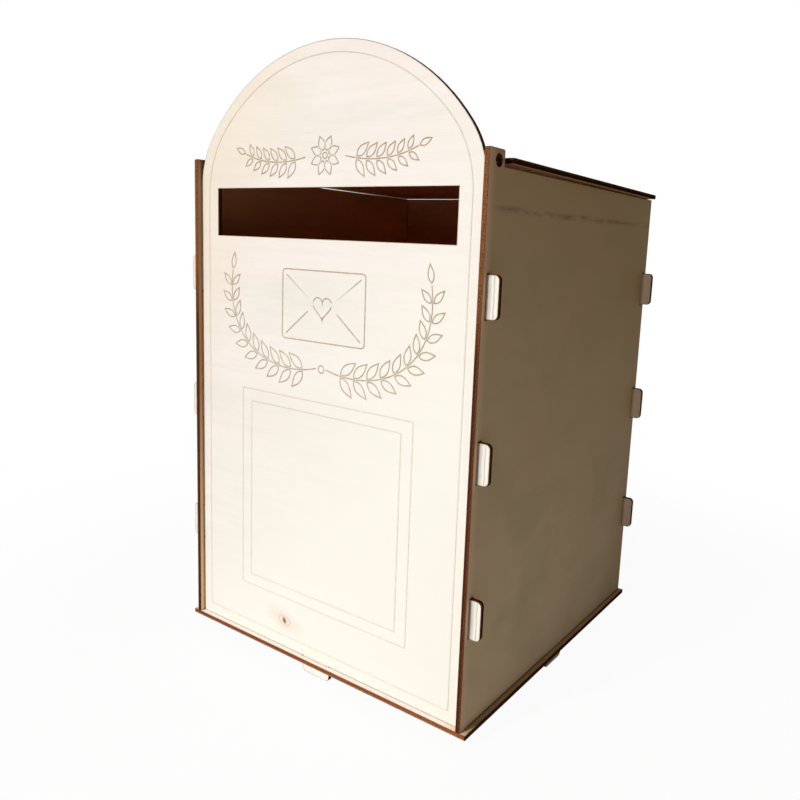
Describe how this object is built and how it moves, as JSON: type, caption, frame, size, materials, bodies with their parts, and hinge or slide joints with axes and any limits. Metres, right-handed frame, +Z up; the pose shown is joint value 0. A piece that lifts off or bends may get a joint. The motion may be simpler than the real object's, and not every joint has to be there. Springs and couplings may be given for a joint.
{
  "type": "wooden post box",
  "caption": "Slot-together plywood post box with an arched front, a letter slot and a lid that tilts up on tongues held in the ears of its side walls.",
  "frame": {"origin": "centre of the box in plan, level with the ends of the four bottom tabs that it stands on", "axes": "+X to the right of someone who faces the letter slot, -Y towards them, +Z up"},
  "size_m": [0.2096, 0.203, 0.3375],
  "materials": {
    "pale_plywood": "bare, smooth sanded, laser-burnt edges",
    "plywood": "bare, smooth sanded, laser-burnt edges"
  },
  "bodies": {
    "box": {"base": "plywood", "front_panel": "pale_plywood", "back_panel": "plywood", "left_side": "plywood", "right_side": "plywood"},
    "lid": {"lid": "plywood"}
  },
  "joints": [
    {"name": "lid_hinge", "type": "hinge", "parent": "box", "child": "lid", "pos_m": [0, -0.09308, 0.2782], "axis": [1, 0, 0], "range_deg": [0, 91]}
  ]
}
